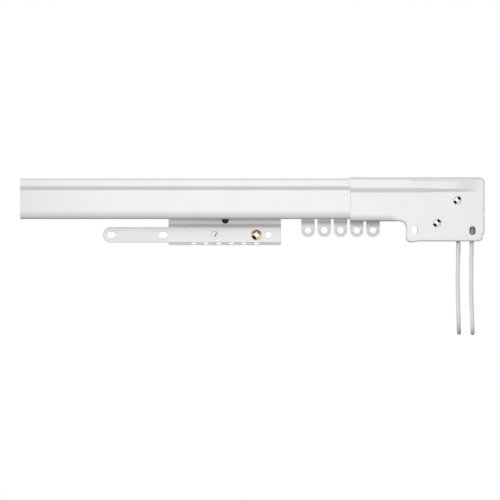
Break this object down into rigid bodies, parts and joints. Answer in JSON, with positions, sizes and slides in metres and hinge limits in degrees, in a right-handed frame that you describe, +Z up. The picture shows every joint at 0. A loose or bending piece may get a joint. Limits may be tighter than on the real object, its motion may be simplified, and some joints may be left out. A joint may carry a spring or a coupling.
{
  "type": "corded curtain track",
  "caption": "Wall-hung white steel curtain rail with a pulley housing, hanging draw cords, sliding plastic eyes and a swinging perforated support arm.",
  "frame": {"origin": "on the wall plane, midway between the two bracket screw holes", "axes": "+X along the rail towards the pulley housing, -Y out of the wall towards the room, +Z up"},
  "size_m": [0.3486, 0.0413, 0.1186],
  "materials": {
    "enamel": "semi-gloss white enamel",
    "white_plastic": "moulded",
    "eye_plastic": "milky moulded plastic",
    "nickel": "polished nickel plate",
    "warm_nickel": "plated",
    "black_rivet": "black oxide",
    "cord": "braided",
    "tie": "woven strap"
  },
  "bodies": {
    "track": {"rail": "enamel", "end_housing": "enamel", "housing_back": "enamel", "cord_guide": "white_plastic", "upper_axle": "nickel", "lower_axle": "nickel", "end_pulley_block": "white_plastic", "return_axle": "nickel", "left_wall_bracket": "enamel", "right_wall_bracket": "enamel", "drive_cord": "cord", "cord_strand_a": "cord", "cord_strand_b": "cord", "cord_coil": "cord", "coil_tie": "tie"},
    "master": {"master_carrier": "eye_plastic", "cord_clamp": "nickel", "cord_clamp_screw": "nickel"},
    "glider_1": {"glider_1": "eye_plastic"},
    "glider_2": {"glider_2": "eye_plastic"},
    "glider_3": {"glider_3": "eye_plastic"},
    "glider_4": {"glider_4": "eye_plastic"},
    "upper_pulley": {"upper_pulley": "white_plastic"},
    "lower_pulley": {"lower_pulley": "white_plastic"},
    "return_pulley": {"return_pulley": "white_plastic"},
    "clip": {"support_clip": "enamel", "pivot_rivet": "black_rivet"},
    "channel": {"support_channel": "enamel"},
    "arm": {"support_arm": "enamel", "arm_nut": "nickel"},
    "screw": {"arm_screw": "warm_nickel"}
  },
  "joints": [
    {"name": "master_draw", "type": "slide", "parent": "track", "child": "master", "axis": [-1, 0, 0], "range_m": [0, 0.16]},
    {"name": "glider_1_slide", "type": "slide", "parent": "track", "child": "glider_1", "axis": [-1, 0, 0], "range_m": [0, 0.128]},
    {"name": "glider_2_slide", "type": "slide", "parent": "track", "child": "glider_2", "axis": [-1, 0, 0], "range_m": [0, 0.096]},
    {"name": "glider_3_slide", "type": "slide", "parent": "track", "child": "glider_3", "axis": [-1, 0, 0], "range_m": [0, 0.064]},
    {"name": "glider_4_slide", "type": "slide", "parent": "track", "child": "glider_4", "axis": [-1, 0, 0], "range_m": [0, 0.032]},
    {"name": "upper_pulley_turn", "type": "hinge", "parent": "track", "child": "upper_pulley", "pos_m": [0.1555, -0.031, 0.0071], "axis": [0, 1, 0], "continuous": true},
    {"name": "lower_pulley_turn", "type": "hinge", "parent": "track", "child": "lower_pulley", "pos_m": [0.1403, -0.031, -0.01], "axis": [0, 1, 0], "continuous": true},
    {"name": "return_pulley_turn", "type": "hinge", "parent": "track", "child": "return_pulley", "pos_m": [-0.158, -0.031, 0.00855], "axis": [0, 1, 0], "continuous": true},
    {"name": "support_traverse", "type": "slide", "parent": "track", "child": "clip", "axis": [1, 0, 0], "range_m": [-0.015, 0.015]},
    {"name": "support_swing", "type": "hinge", "parent": "clip", "child": "channel", "pos_m": [-0.0186, -0.0065, -0.0078], "axis": [0, 1, 0], "range_deg": [-90, 90]},
    {"name": "arm_slide", "type": "slide", "parent": "channel", "child": "arm", "axis": [1, 0, 0], "range_m": [-0.0095, 0.0095]},
    {"name": "arm_screw_turn", "type": "hinge", "parent": "arm", "child": "screw", "pos_m": [0.0049, -0.0063, -0.0188], "axis": [0, 1, 0], "continuous": true}
  ],
  "couplings": [
    {"joint": "glider_1_slide", "follows": "master_draw", "ratio": 0.8},
    {"joint": "glider_2_slide", "follows": "master_draw", "ratio": 0.6},
    {"joint": "glider_3_slide", "follows": "master_draw", "ratio": 0.4},
    {"joint": "glider_4_slide", "follows": "master_draw", "ratio": 0.2},
    {"joint": "upper_pulley_turn", "follows": "master_draw", "rad_per_m": 90.909},
    {"joint": "lower_pulley_turn", "follows": "master_draw", "rad_per_m": -111.11},
    {"joint": "return_pulley_turn", "follows": "master_draw", "rad_per_m": 104.71}
  ]
}
